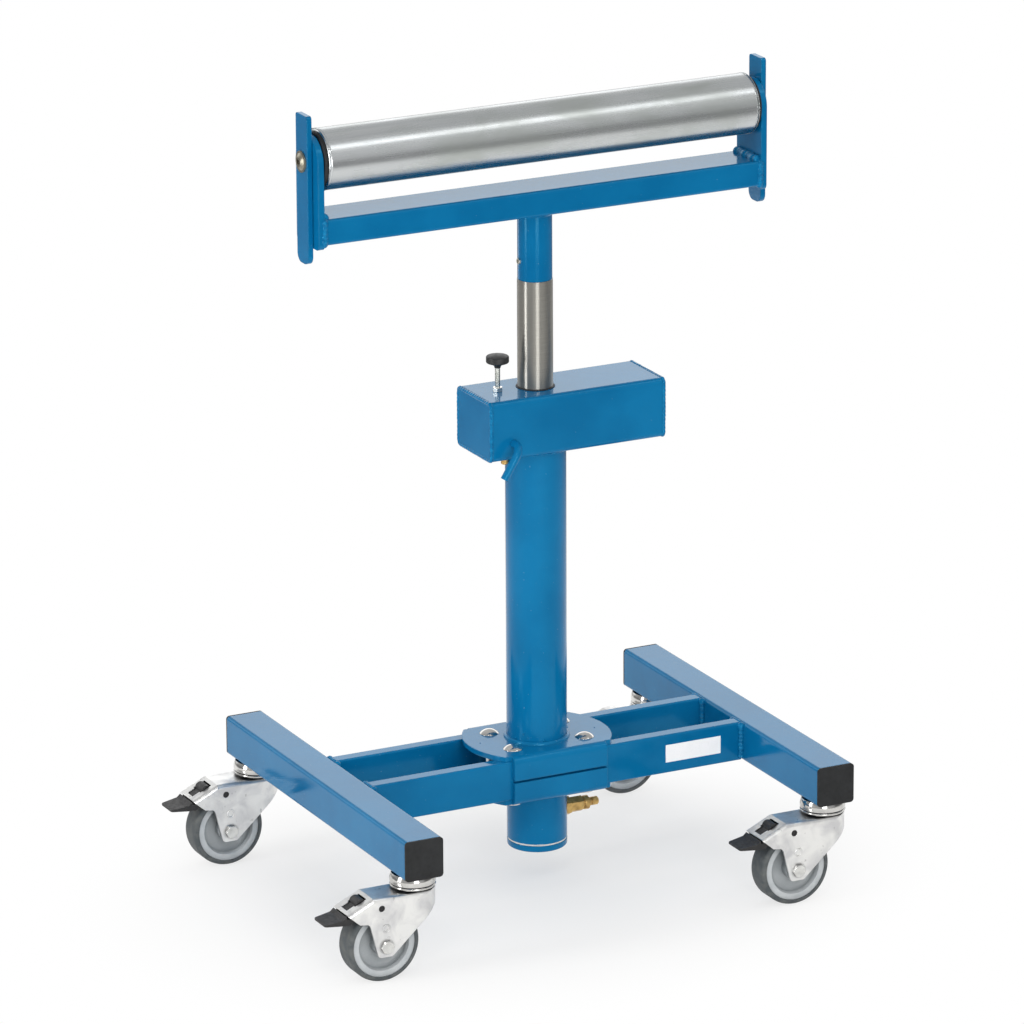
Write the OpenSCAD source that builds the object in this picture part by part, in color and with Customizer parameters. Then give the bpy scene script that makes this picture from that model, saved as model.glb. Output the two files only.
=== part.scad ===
// Roller stand on four braked swivel casters, with an air-lifted mast.
// Ground is z = 0, the roller runs along x, the foot tubes run along y.

/* [Base frame] */
// distance between the centres of the two foot tubes
foot_spacing = 448; // [430:1:470]
// overall length of each foot tube with its end caps
foot_length = 410; // [390:1:430]
// outside size of the square foot tube, also the beam height
foot_size = 40; // [39:0.5:42]
// wall of the foot tube
foot_wall = 3; // [2:0.1:4]
// outside corner radius of the foot tube
foot_corner = 3.5; // [3.2:0.1:5]
// visible thickness of the black end caps
cap_flange = 2; // [1.5:0.1:3]
// depth the end caps reach into the tube
cap_plug = 8; // [5:0.5:9]
// thickness of each cross beam along y
beam_depth = 15; // [12:0.5:16]
// distance of each beam centre from the column axis
beam_offset = 41; // [40:0.5:44]
// wall of the cross beams
beam_wall = 2; // [1.5:0.1:3]
// leg length of the fillet welds
weld_leg = 3; // [2:0.1:3.5]

/* [Clamp plates] */
// thickness of both clamp plates
plate_t = 5; // [4:0.1:6]
// diameter of the round part of the clamp plates
plate_d = 148; // [144:1:154]
// outside bend radius of the folded edges
plate_bend = 7; // [6.5:0.1:8]
// slit left between the upper and the lower fold
plate_slit = 2.5; // [1.5:0.1:4]
// distance of the clamp bolts from the column axis along x
bolt_x = 39.5; // [38:0.5:42]
// distance of the clamp bolts from the column axis along y
bolt_y = 26; // [25:0.5:27]
// shank diameter of the clamp bolts
bolt_d = 10; // [8:0.5:11]
// diameter of the domed bolt heads
bolt_head_d = 19.5; // [17:0.5:21]
// height of the domed bolt heads
bolt_head_h = 4.5; // [3:0.5:6]
// width across flats of the clamp nuts
nut_af = 17; // [16:0.5:18]
// height of the clamp nuts
nut_h = 6.5; // [5:0.5:8]

/* [Column] */
// outside diameter of the column tube, which is the lift cylinder
column_d = 60; // [58:0.5:61]
// wall of the column tube
column_wall = 3; // [2.5:0.1:4]
// length of column below the top of the foot tubes, without ring and cap
column_drop = 100; // [95:1:105]
// height of the bare metal ring above the bottom cap
ring_h = 2; // [1.5:0.1:3]
// height of the bottom cap
bottom_cap_h = 6.5; // [5:0.5:8]
// height of the air coupling below the top of the foot tubes
coupling_drop = 75; // [72:0.5:78]
// width across flats of the coupling hexagon
coupling_af = 15; // [14:0.5:16]

/* [Head box] */
// distance from the top of the foot tubes to the underside of the box
box_level = 305; // [295:1:315]
// height of the box
box_h = 60; // [56:1:64]
// depth of the box along y
box_depth = 73; // [68:1:76]
// reach of the box from the column axis to the left
box_left = 67; // [62:1:70]
// reach of the box from the column axis to the right
box_right = 124; // [115:1:130]
// wall of the box
box_wall = 3; // [2.5:0.1:4]
// outside corner radius of the box
box_corner = 5; // [4.5:0.1:6]
// diameter of the hook bar
hook_d = 8; // [7:0.5:9]
// distance of the valve knob from the column axis
valve_x = 41; // [40:0.5:43]
// diameter of the valve knob
knob_d = 22.5; // [20:0.5:24]
// diameter of the valve stud
stud_d = 5; // [4:0.5:6]
// outside diameter of the wiper ring round the rod
wiper_d = 38; // [37.5:0.5:41]

/* [Mast] */
// diameter of the piston rod
rod_d = 35; // [33:0.5:36]
// height of the rod end above the top of the foot tubes
seam_level = 474; // [470:1:480]
// outside diameter of the blue tube above the rod
neck_d = 34; // [32:0.5:35]
// wall of that tube
neck_wall = 3.5; // [3:0.1:4]
// height of the crossbeam top above the top of the foot tubes
cross_level = 567.5; // [560:1:576]
// height of the crossbeam
cross_h = 25.5; // [24:0.5:28]
// depth of the crossbeam along y
cross_depth = 50; // [46:0.5:52]
// wall of the crossbeam
cross_wall = 2.5; // [2:0.1:3]
// outside corner radius of the crossbeam
cross_corner = 3; // [2.6:0.1:4]

/* [Roller] */
// height of the roller axis above the top of the foot tubes
roller_level = 621; // [615:0.5:626]
// diameter of the roller
roller_d = 60; // [56:0.5:62]
// wall of the roller tube
roller_wall = 2; // [1.5:0.1:3]
// length of the roller tube
roller_len = 463; // [440:1:480]
// black end cap that shows beyond each tube end
roller_cap_t = 3.5; // [2.5:0.5:5]
// diameter of the roller axle
axle_d = 12; // [11:0.5:14]
// gap between the roller caps and the uprights
roller_gap = 0.6; // [0.4:0.1:1.2]
// thickness of the uprights
upright_t = 6; // [5:0.1:7]
// length of upright below the crossbeam
upright_toe = 4.5; // [3:0.5:6]
// thickness of the side stops
stop_t = 5; // [4:0.1:6]
// width of the side stops
stop_w = 25; // [24:0.5:28]
// reach of the side stops above the roller axis
stop_up = 46; // [42:0.5:50]
// reach of the side stops below the roller axis
stop_down = 100; // [96:0.5:104]
// shank diameter of the axle bolts
axle_bolt_d = 8; // [7:0.5:8.5]

/* [Casters] */
// gap between the tyre and the crown of the fork above it
tyre_gap = 10; // [8:0.5:12]
// wheel diameter
wheel_d = 75; // [72:0.5:76]
// tyre width
wheel_w = 25; // [23:0.5:26]
// distance from swivel axis to wheel axle
trail = 36.4; // [35.4:0.2:38]
// distance of the swivel axis from the end of the foot tube
caster_inset = 26.5; // [25:0.5:30]
// outside width of the fork
fork_w = 36; // [35:0.5:38]
// sheet thickness of the fork
fork_t = 2.5; // [2:0.1:3]
// height of the swivel cup
cup_h = 13; // [12:0.5:13.5]
// greatest diameter of the swivel cup
cup_d = 45; // [43:0.5:46]
// diameter of the king bolt
king_d = 12; // [10:0.5:13]

/* [Fits] */
// radial clearance of turning and sliding fits
fit_gap = 0.05; // [0.03:0.01:0.08]
// axial clearance between parts that turn against each other
run_gap = 0.1; // [0.05:0.01:0.2]

/* [Hidden] */
$fn = 96;

blue = [0.07, 0.38, 0.62];
black = [0.13, 0.13, 0.14];
zinc = [0.78, 0.78, 0.76];
brass = [0.72, 0.58, 0.33];
steel = [0.72, 0.71, 0.68];
rubber = [0.22, 0.24, 0.25];
grey = [0.72, 0.75, 0.78];

// the caster stacks up from the ground: tyre, gap, fork crown, swivel cup
crown_z = -(cup_h + 2);
axle_z = crown_z - fork_t - tyre_gap - wheel_d / 2;
caster_h = wheel_d / 2 - axle_z;

// heights of the main levels
top_z = caster_h + foot_size;
plate_z = top_z + plate_t;
mid_z = top_z - foot_size / 2;
under_z = caster_h - plate_t;
box_z = top_z + box_level;
box_top = box_z + box_h;
seam_z = top_z + seam_level;
cross_z = top_z + cross_level;
roller_z = top_z + roller_level;

// spacings along x from the column axis
foot_x = foot_spacing / 2;
beam_half = foot_x - foot_size / 2;
upright_in = roller_len / 2 + roller_cap_t + roller_gap;
upright_out = upright_in + upright_t;
washer_t = 0.5;
stop_in = upright_out + washer_t;
stop_out = stop_in + stop_t;
head_flange_t = 1.6;
head_h = 4;

// caster side view, measured from the swivel axis and the foot underside
caster_y = foot_length / 2 - caster_inset;
crown_end = -trail - 13.2;
slope = 25;
slope_run = 26.5;
slope_end = crown_end - slope_run;
slope_drop = slope_run * tan(slope);
pivot_x = -trail - 4.9;
pivot_z = crown_z - 10.5;
pedal_tip = slope_end - 22.6;
press_angle = 14;
fork_in = fork_w / 2 - fork_t;
arm_in = wheel_w / 2 + 0.4;
arm_out = fork_in - 0.3;

// the widest points left and right set the middle of the frame
left_reach = foot_x - pedal_tip;
right_reach = stop_out + head_h;
column_x = (left_reach - right_reach) / 2;

plate_half = beam_offset + beam_depth / 2 + plate_t;
fold_half = sqrt(pow(plate_d / 2, 2) - pow(plate_half, 2));
column_in = column_d - 2 * column_wall;
neck_in = neck_d - 2 * neck_wall;
piston_h = 25;
piston_rest = 38;
piston_z = top_z + piston_rest;
bush_h = 40;

// bolts, coupling, valve and hook
bolt_show = 1;
port_d = 8;
nipple_d = 8.5;
nipple_len = 9;
valve_d = 20;
valve_nut_h = 4.5;
knob_z = 29;
knob_h = 7;
knob_crown = 1.3;
neck_h = 5;
stud_in = 20;
outlet_x = -valve_x + 7;
outlet_d = 7;
outlet_len = 15;
hook_x = 42;
hook_z = 17;
hook_tail = 24;
wiper_lip = 1.2;

// rod end, set screw and wheel parts
spigot_h = 45;
screw_z = 19;
screw_d = 6;
screw_bite = 3;
lip_r = 3;
tyre_t = 5;
dish_d = 8.5;
dish_corner = 5;
wheel_axle_d = 8;
king_nut_h = 8;

// fork: nose radius centre, bends, pivot and the window in the sloping hood
nose_x = 4;
edge_bend = 4.5;
hood_edge = 3.8;
pivot_d = 6.4;
window_near = 4;
window_step = 17.2;
window_far = 25.5;
window_w = 17;
window_far_w = 12.4;
window_gap = 0.8;

// rectangle with rounded corners, centred
module round_rect(w, h, r) {
    square([w - 2 * r, h], center = true);
    square([w, h - 2 * r], center = true);
    for (sx = [-1, 1], sy = [-1, 1])
        translate([sx * (w / 2 - r), sy * (h / 2 - r)])
            circle(r = r);
}

// bar end of width w with two corners of radius r, centred on its corner circles
module bar_end(w, r) {
    square([w - 2 * r, 2 * r], center = true);
    for (s = [-1, 1])
        translate([s * (w / 2 - r), 0])
            circle(r = r);
}

// hollow section, centred
module tube_section(w, h, r, t) {
    difference() {
        round_rect(w, h, r);
        round_rect(w - 2 * t, h - 2 * t, r - t / 2);
    }
}

// extrusion along x, profile drawn as y across and z up
module along_x(len) {
    rotate([90, 0, 90])
        translate([0, 0, -len / 2])
            linear_extrude(len)
                children();
}

// extrusion along y, profile drawn as x across and z up
module along_y(len) {
    rotate([90, 0, 0])
        translate([0, 0, -len / 2])
            linear_extrude(len)
                children();
}

// solid hexagon, width across flats
module hexagon(af) {
    circle(d = af / cos(30), $fn = 6);
}

// quarter round weld bead along z, open towards plus x and plus y
module bead(len) {
    intersection() {
        cylinder(r = weld_leg, h = len, center = true);
        translate([0, 0, -len / 2])
            cube([weld_leg, weld_leg, len]);
    }
}

// ring of weld round a tube that stands on a plate
module weld_ring(d) {
    rotate_extrude()
        difference() {
            translate([d / 2, 0])
                intersection() {
                    circle(r = weld_leg);
                    square(weld_leg);
                }
        }
}

// ball end: part of a sphere with base diameter d and height h
module dome(d, h) {
    ball = (pow(d / 2, 2) + h * h) / (2 * h);
    intersection() {
        translate([0, 0, h - ball])
            sphere(r = ball);
        cylinder(d = d, h = h);
    }
}

// dome with a flat crown
module button(d, h) {
    intersection() {
        dome(d, 1.4 * h);
        cylinder(d = d, h = h);
    }
}

module at_column() {
    translate([column_x, 0, 0])
        children();
}

module at_foot(side) {
    translate([column_x + side * foot_x, 0, 0])
        children();
}

module at_caster(side, end) {
    translate([column_x + side * foot_x, end * caster_y, caster_h])
        children();
}

// square foot tube with holes for the two king bolts
module foot(side) {
    tube_len = foot_length - 2 * cap_flange;
    color(blue)
        at_foot(side)
            difference() {
                translate([0, 0, mid_z])
                    along_y(tube_len)
                        tube_section(foot_size, foot_size, foot_corner, foot_wall);
                for (end = [-1, 1])
                    translate([0, end * caster_y, caster_h - foot_wall])
                        cylinder(d = king_d + 2 * fit_gap, h = 3 * foot_wall);
            }
}

module foot_left() {
    foot(-1);
}

module foot_right() {
    foot(1);
}

// plugged end caps, flush with the outside of the tube
module foot_caps() {
    inner = foot_size - 2 * foot_wall;
    color(black)
        for (side = [-1, 1], end = [-1, 1])
            at_foot(side)
                translate([0, end * foot_length / 2, mid_z])
                    rotate([0, 0, end > 0 ? 180 : 0])
                        foot_cap(inner);
}

module foot_cap(inner) {
    translate([0, cap_flange / 2, 0])
        along_y(cap_flange)
            round_rect(foot_size, foot_size, foot_corner);
    translate([0, cap_flange + cap_plug / 2, 0])
        along_y(cap_plug)
            tube_section(inner, inner, foot_corner - foot_wall / 2, foot_wall);
}

// flat cross beam with its upright and top welds at both ends
module beam(dir) {
    color(blue)
        at_column()
            translate([0, dir * beam_offset, mid_z]) {
                along_x(2 * beam_half)
                    tube_section(beam_depth, foot_size, beam_wall, beam_wall);
                for (side = [-1, 1], face = [-1, 1])
                    translate([side * beam_half, face * beam_depth / 2, 0])
                        mirror([side > 0 ? 1 : 0, 0, 0])
                            mirror([0, face > 0 ? 0 : 1, 0])
                                bead(foot_size - 2 * foot_corner);
            }
}

module beam_front() {
    beam(-1);
}

module beam_rear() {
    beam(1);
}

// folded clamp plate, drawn with its flat at z = 0 and folds going down
module clamp_plate() {
    fold_h = (foot_size - plate_slit) / 2 + plate_t;
    bore = bolt_d + 2 * fit_gap;
    difference() {
        union() {
            intersection() {
                translate([0, 0, -plate_t])
                    cylinder(d = plate_d, h = plate_t);
                cube([plate_d, 2 * (plate_half - plate_bend), 2 * plate_t], center = true);
            }
            along_x(2 * fold_half)
                fold_profile(fold_h);
        }
        translate([0, 0, -2 * plate_t])
            cylinder(d = column_d, h = 3 * plate_t);
        for (sx = [-1, 1], sy = [-1, 1])
            translate([sx * bolt_x, sy * bolt_y, -2 * plate_t])
                cylinder(d = bore, h = 3 * plate_t);
    }
}

// channel with round outer bends: y across, z up
module fold_profile(fold_h) {
    difference() {
        union() {
            translate([-plate_half, -fold_h])
                square([2 * plate_half, fold_h - plate_bend]);
            translate([-plate_half + plate_bend, -plate_bend])
                square([2 * (plate_half - plate_bend), plate_bend]);
            for (s = [-1, 1])
                translate([s * (plate_half - plate_bend), -plate_bend])
                    circle(r = plate_bend);
        }
        translate([-plate_half + plate_t, -2 * fold_h])
            square([2 * (plate_half - plate_t), 2 * fold_h - plate_t]);
    }
}

module clamp_top() {
    color(blue)
        at_column() {
            translate([0, 0, plate_z])
                clamp_plate();
            translate([0, 0, plate_z])
                weld_ring(column_d);
        }
}

module clamp_bottom() {
    color(blue)
        at_column()
            translate([0, 0, under_z])
                mirror([0, 0, 1])
                    clamp_plate();
}

// domed bolts through both plates
module clamp_bolts() {
    shank = plate_z - under_z + nut_h + bolt_show;
    color(zinc)
        at_column()
            for (sx = [-1, 1], sy = [-1, 1])
                translate([sx * bolt_x, sy * bolt_y, plate_z]) {
                    dome(bolt_head_d, bolt_head_h);
                    translate([0, 0, -shank])
                        cylinder(d = bolt_d, h = shank);
                }
}

module clamp_nuts() {
    color(zinc)
        at_column()
            for (sx = [-1, 1], sy = [-1, 1])
                translate([sx * bolt_x, sy * bolt_y, under_z - nut_h])
                    hex_nut(nut_af, nut_h, bolt_d);
}

// hexagon nut with both faces chamfered
module hex_nut(af, h, bore) {
    corner = af / cos(30);
    difference() {
        intersection() {
            linear_extrude(h)
                hexagon(af);
            cylinder(d1 = af, d2 = af + 2 * h, h = h);
            cylinder(d1 = af + 2 * h, d2 = af, h = h);
        }
        translate([0, 0, -h])
            cylinder(d = bore + 2 * fit_gap, h = 3 * h);
    }
}

// column tube from the bottom ring up to the roof of the box
module column_tube() {
    z0 = top_z - column_drop;
    color(blue)
        at_column()
            difference() {
                translate([0, 0, z0])
                    cylinder(d = column_d, h = box_top - box_wall - z0);
                translate([0, 0, z0 - column_wall])
                    cylinder(d = column_in, h = box_top - z0 + 2 * column_wall);
                translate([0, 0, top_z - coupling_drop])
                    rotate([0, 90, 0])
                        cylinder(d = port_d, h = column_d);
            }
}

module column_ring() {
    color(zinc)
        at_column()
            translate([0, 0, top_z - column_drop - ring_h])
                difference() {
                    cylinder(d = column_d - 1, h = ring_h);
                    translate([0, 0, -ring_h])
                        cylinder(d = column_in - 2 * column_wall, h = 3 * ring_h);
                }
}

// bottom cap with a round lower edge and a spigot inside the tube
module column_cap() {
    edge = 2;
    spigot = 6;
    color(blue)
        at_column()
            translate([0, 0, top_z - column_drop - ring_h - bottom_cap_h]) {
                rotate_extrude() {
                    square([column_d / 2 - edge, bottom_cap_h]);
                    translate([0, edge])
                        square([column_d / 2, bottom_cap_h - edge]);
                    translate([column_d / 2 - edge, edge])
                        circle(r = edge);
                }
                translate([0, 0, bottom_cap_h])
                    cylinder(d = column_in - 2 * column_wall, h = ring_h + spigot);
            }
}

// brass quick coupling: hexagon foot, body, sleeve and nipple
module air_coupling() {
    foot_af = coupling_af + 2;
    color(brass)
        at_column()
            translate([0, 0, top_z - coupling_drop])
                rotate([0, 90, 0])
                    difference() {
                        union() {
                            translate([0, 0, column_d / 2 - column_wall])
                                cylinder(d = port_d, h = 2 * column_wall);
                            translate([0, 0, column_d / 2 - 2])
                                linear_extrude(7)
                                    hexagon(foot_af);
                            translate([0, 0, column_d / 2 + 5])
                                coupling_body();
                        }
                        rotate([0, -90, 0])
                            translate([0, 0, -column_d])
                                difference() {
                                    cylinder(d = column_d, h = 2 * column_d);
                                    translate([0, 0, column_d])
                                        rotate([0, 90, 0])
                                            cylinder(d = port_d, h = column_d);
                                }
                        translate([0, 0, -column_d])
                            cylinder(d = port_d / 2, h = 3 * column_d);
                    }
}

module coupling_body() {
    linear_extrude(14)
        hexagon(coupling_af - 1);
    translate([0, 0, 14])
        cylinder(d = coupling_af - 4, h = 2);
    translate([0, 0, 16])
        cylinder(d1 = coupling_af - 2, d2 = coupling_af - 1, h = 1);
    translate([0, 0, 17])
        cylinder(d = coupling_af - 1, h = 4);
    translate([0, 0, 21])
        cylinder(d1 = coupling_af - 1, d2 = nipple_d, h = 1.5);
    translate([0, 0, 22.5])
        cylinder(d = nipple_d, h = 1.5);
    translate([0, 0, 24])
        cylinder(d = nipple_d - 2, h = 1.5);
    translate([0, 0, 25.5])
        cylinder(d = nipple_d, h = nipple_len - 3);
    translate([0, 0, 22.5 + nipple_len])
        cylinder(d1 = nipple_d, d2 = nipple_d - 2, h = 1);
}

// box section along x
module head_box() {
    len = box_left + box_right - 2 * box_wall;
    color(blue)
        at_column()
            difference() {
                translate([(box_right - box_left) / 2, 0, box_z + box_h / 2])
                    along_x(len)
                        tube_section(box_depth, box_h, box_corner, box_wall);
                translate([0, 0, box_z - box_wall])
                    cylinder(d = column_d, h = 3 * box_wall);
                translate([0, 0, box_top - 2 * box_wall])
                    cylinder(d = wiper_d, h = 3 * box_wall);
                translate([-valve_x, 0, box_top - 2 * box_wall])
                    cylinder(d = stud_d + 1, h = 3 * box_wall);
                translate([outlet_x, 0, box_z - box_wall])
                    cylinder(d = outlet_d + 2 * fit_gap, h = 3 * box_wall);
            }
}

// plates that close both ends of the box
module box_ends() {
    color(blue)
        at_column()
            for (x = [-box_left + box_wall / 2, box_right - box_wall / 2])
                translate([x, 0, box_z + box_h / 2])
                    along_x(box_wall)
                        round_rect(box_depth, box_h, box_corner);
}

// bent round bar welded to the front of the box
module hook() {
    stub = 5;
    bend = 11;
    lean = 32;
    color(blue)
        at_column()
            translate([-hook_x, -box_depth / 2, box_z + hook_z]) {
                rotate([90, 0, 0])
                    cylinder(d = hook_d, h = stub);
                rotate([0, lean, 0])
                    translate([0, -stub, 0]) {
                        translate([0, 0, -bend])
                            rotate([0, -90, 0])
                                rotate([180, 0, 0])
                                    rotate_extrude(angle = 90)
                                        translate([bend, 0])
                                            circle(d = hook_d);
                        translate([0, -bend, -bend - hook_tail])
                            cylinder(d = hook_d, h = hook_tail);
                    }
            }
}

module wiper_ring() {
    edge = 0.6;
    color(black)
        at_column()
            translate([0, 0, box_top - box_wall])
                difference() {
                    union() {
                        cylinder(d = wiper_d, h = box_wall + wiper_lip - edge);
                        translate([0, 0, box_wall + wiper_lip - edge])
                            cylinder(d1 = wiper_d, d2 = wiper_d - 2 * edge, h = edge);
                    }
                    translate([0, 0, -box_wall])
                        cylinder(d = rod_d + 2 * fit_gap, h = 4 * box_wall);
                }
}

// guide inside the top of the column
module guide_bush() {
    color(brass)
        at_column()
            translate([0, 0, box_top - box_wall - bush_h])
                difference() {
                    cylinder(d = column_in, h = bush_h);
                    translate([0, 0, -bush_h])
                        cylinder(d = rod_d + 2 * fit_gap, h = 3 * bush_h);
                }
}

// brass valve body in the box with its outlet below
module valve_outlet() {
    body_h = box_h - 2 * box_wall;
    color(brass)
        at_column()
            difference() {
                union() {
                    translate([-valve_x, 0, box_z + box_wall])
                        cylinder(d = valve_d, h = body_h);
                    translate([outlet_x, 0, box_z - outlet_len + 1])
                        cylinder(d = outlet_d, h = outlet_len + box_wall);
                    translate([outlet_x, 0, box_z - outlet_len])
                        cylinder(d1 = outlet_d - 2, d2 = outlet_d, h = 1);
                }
                translate([-valve_x, 0, box_top - box_wall - body_h / 2])
                    cylinder(d = stud_d + 2 * fit_gap, h = body_h);
            }
}

module valve_nut() {
    color(zinc)
        at_column()
            translate([-valve_x, 0, box_top])
                hex_nut(stud_d + 4, valve_nut_h, stud_d);
}

// mushroom knob fixed on its stud
module valve_knob() {
    at_column()
        translate([-valve_x, 0, box_top])
            knob_solid();
}

module knob_solid() {
    rim = 1.5;
    color(black)
        rotate_extrude() {
            translate([0, knob_z])
                square([knob_d / 2 - rim, knob_h]);
            translate([0, knob_z + rim])
                square([knob_d / 2, knob_h - 2 * rim]);
            for (z = [knob_z + rim, knob_z + knob_h - rim])
                translate([knob_d / 2 - rim, z])
                    circle(r = rim);
            polygon([[0, knob_z - neck_h], [3, knob_z - neck_h], [3.5, knob_z - 3],
                     [knob_d / 2 - 2, knob_z + 0.5], [0, knob_z + 0.5]]);
        }
    color(black)
        translate([0, 0, knob_z + knob_h])
            dome(knob_d - 2 * rim, knob_crown);
    color(zinc)
        translate([0, 0, -box_wall - stud_in])
            cylinder(d = stud_d, h = knob_z + box_wall + stud_in - neck_h);
}

// piston with two seal grooves
module piston() {
    groove = 3;
    color(steel)
        at_column()
            translate([0, 0, piston_z])
                difference() {
                    cylinder(d = column_in - 2 * fit_gap, h = piston_h);
                    for (z = [5, piston_h - 5 - groove])
                        translate([0, 0, z])
                            difference() {
                                cylinder(d = column_in + 2, h = groove);
                                cylinder(d = column_in - 5, h = groove);
                            }
                }
}

// rod with a turned spigot that enters the tube above
module piston_rod() {
    color(steel)
        at_column()
            difference() {
                union() {
                    translate([0, 0, piston_z + piston_h])
                        cylinder(d = rod_d, h = seam_z - piston_z - piston_h);
                    translate([0, 0, seam_z])
                        cylinder(d = neck_in - 2 * fit_gap, h = spigot_h);
                }
                translate([-neck_in / 2 - 1, 0, seam_z + screw_z])
                    rotate([0, 90, 0])
                        cylinder(d = screw_d + 2 * fit_gap, h = screw_bite + 1);
            }
}

// tube between the rod and the crossbeam
module neck_tube() {
    color(blue)
        at_column()
            difference() {
                union() {
                    translate([0, 0, seam_z])
                        cylinder(d = neck_d, h = cross_z - cross_h - seam_z);
                    translate([0, 0, cross_z - cross_h])
                        mirror([0, 0, 1])
                            weld_ring(neck_d);
                }
                translate([0, 0, seam_z - neck_wall])
                    cylinder(d = neck_in, h = cross_z - seam_z);
                translate([-neck_d, 0, seam_z + screw_z])
                    rotate([0, 90, 0])
                        cylinder(d = screw_d + 2 * fit_gap, h = neck_d);
            }
}

// socket screw that locks the rod in the tube
module set_screw() {
    show = 1.5;
    color(zinc)
        at_column()
            translate([-neck_d / 2 - show, 0, seam_z + screw_z])
                rotate([0, 90, 0])
                    difference() {
                        cylinder(d = screw_d, h = show + neck_wall + screw_bite);
                        translate([0, 0, -show])
                            linear_extrude(2 * show)
                                hexagon(screw_d / 2);
                    }
}

module crossbeam() {
    color(blue)
        at_column()
            translate([0, 0, cross_z - cross_h / 2])
                along_x(2 * upright_in)
                    tube_section(cross_depth, cross_h, cross_corner, cross_wall);
}

// upright with a full round top and welds where the crossbeam meets it
module upright(side) {
    r = cross_depth / 2;
    toe_r = 6;
    foot_z = cross_z - cross_h - upright_toe;
    color(blue)
        at_column() {
            difference() {
                translate([side * (upright_in + upright_t / 2), 0, 0])
                    along_x(upright_t) {
                        translate([0, roller_z])
                            circle(r = r);
                        translate([-r, foot_z + toe_r])
                            square([2 * r, roller_z - foot_z - toe_r]);
                        translate([0, foot_z + toe_r])
                            bar_end(2 * r, toe_r);
                    }
                translate([0, 0, roller_z])
                    rotate([0, 90, 0])
                        cylinder(d = axle_bolt_d + 2 * fit_gap, h = 4 * upright_in, center = true);
            }
            translate([side * upright_in, 0, cross_z])
                mirror([side > 0 ? 1 : 0, 0, 0])
                    rotate([90, 0, 0])
                        bead(cross_depth - 2 * cross_corner);
        }
}

module upright_left() {
    upright(-1);
}

module upright_right() {
    upright(1);
}

module stop_washers() {
    color(zinc)
        at_column()
            for (side = [-1, 1])
                translate([side * (upright_out + washer_t / 2), 0, roller_z])
                    rotate([0, 90, 0])
                        difference() {
                            cylinder(d = stop_w - 4, h = washer_t, center = true);
                            cylinder(d = axle_bolt_d + 2 * fit_gap, h = 3 * washer_t, center = true);
                        }
}

// flat bar that stops the work sliding off sideways
module side_stop(side) {
    top_r = 3;
    toe_r = 9;
    straight = stop_up + stop_down - top_r - toe_r;
    color(blue)
        at_column()
            translate([side * (stop_in + stop_t / 2), 0, roller_z])
                difference() {
                    along_x(stop_t) {
                        translate([-stop_w / 2, -stop_down + toe_r])
                            square([stop_w, straight]);
                        translate([0, -stop_down + toe_r])
                            bar_end(stop_w, toe_r);
                        translate([0, stop_up - top_r])
                            bar_end(stop_w, top_r);
                    }
                    rotate([0, 90, 0])
                        cylinder(d = axle_bolt_d + 2 * fit_gap, h = 3 * stop_t, center = true);
                }
}

module stop_left() {
    side_stop(-1);
}

module stop_right() {
    side_stop(1);
}

// fixed axle with a threaded hole in each end
module roller_axle() {
    thread = 22;
    color(steel)
        at_column()
            translate([0, 0, roller_z])
                rotate([0, 90, 0])
                    difference() {
                        cylinder(d = axle_d, h = 2 * upright_in, center = true);
                        for (side = [-1, 1])
                            translate([0, 0, side * upright_in])
                                cylinder(d = axle_bolt_d + 2 * fit_gap, h = 2 * thread, center = true);
                    }
}

// flanged button head bolts that hold the side stops
module axle_bolts() {
    color(zinc)
        at_column()
            for (side = [-1, 1])
                translate([side * stop_out, 0, roller_z])
                    rotate([0, side * 90, 0])
                        difference() {
                            union() {
                                cylinder(d = stop_w - 4, h = head_flange_t);
                                translate([0, 0, head_flange_t])
                                    button(stop_w - 8, head_h - head_flange_t);
                                translate([0, 0, -stop_t - upright_t - 20])
                                    cylinder(d = axle_bolt_d, h = stop_t + upright_t + 20);
                            }
                            translate([0, 0, head_flange_t])
                                linear_extrude(head_h)
                                    hexagon(5);
                        }
}

// roller tube with both ends rolled in to a lip
module roller_tube() {
    r = roller_d / 2;
    half = roller_len / 2 - lip_r;
    color(steel)
        at_column()
            translate([0, 0, roller_z])
                rotate([0, 90, 0])
                    rotate_extrude() {
                        translate([r - roller_wall, -half])
                            square([roller_wall, 2 * half]);
                        for (s = [-1, 1])
                            translate([r - lip_r, s * half])
                                intersection() {
                                    difference() {
                                        circle(r = lip_r);
                                        circle(r = lip_r - roller_wall);
                                    }
                                    translate([0, s > 0 ? 0 : -lip_r])
                                        square(lip_r);
                                }
                    }
}

// black bearing caps in both ends of the roller
module roller_caps() {
    r = roller_d / 2 - lip_r;
    flange_r = r + 0.8;
    plug = 14;
    color(black)
        at_column()
            for (side = [-1, 1])
                translate([side * roller_len / 2, 0, roller_z])
                    rotate([0, side * 90, 0])
                        difference() {
                            union() {
                                translate([0, 0, -plug])
                                    cylinder(r = r, h = plug);
                                cylinder(r = flange_r, h = roller_cap_t - 1);
                                translate([0, 0, roller_cap_t - 1])
                                    cylinder(r1 = flange_r, r2 = flange_r - 1, h = 1);
                            }
                            translate([0, 0, -2 * plug])
                                cylinder(d = axle_d + 2 * fit_gap, h = 4 * plug);
                        }
}

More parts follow.
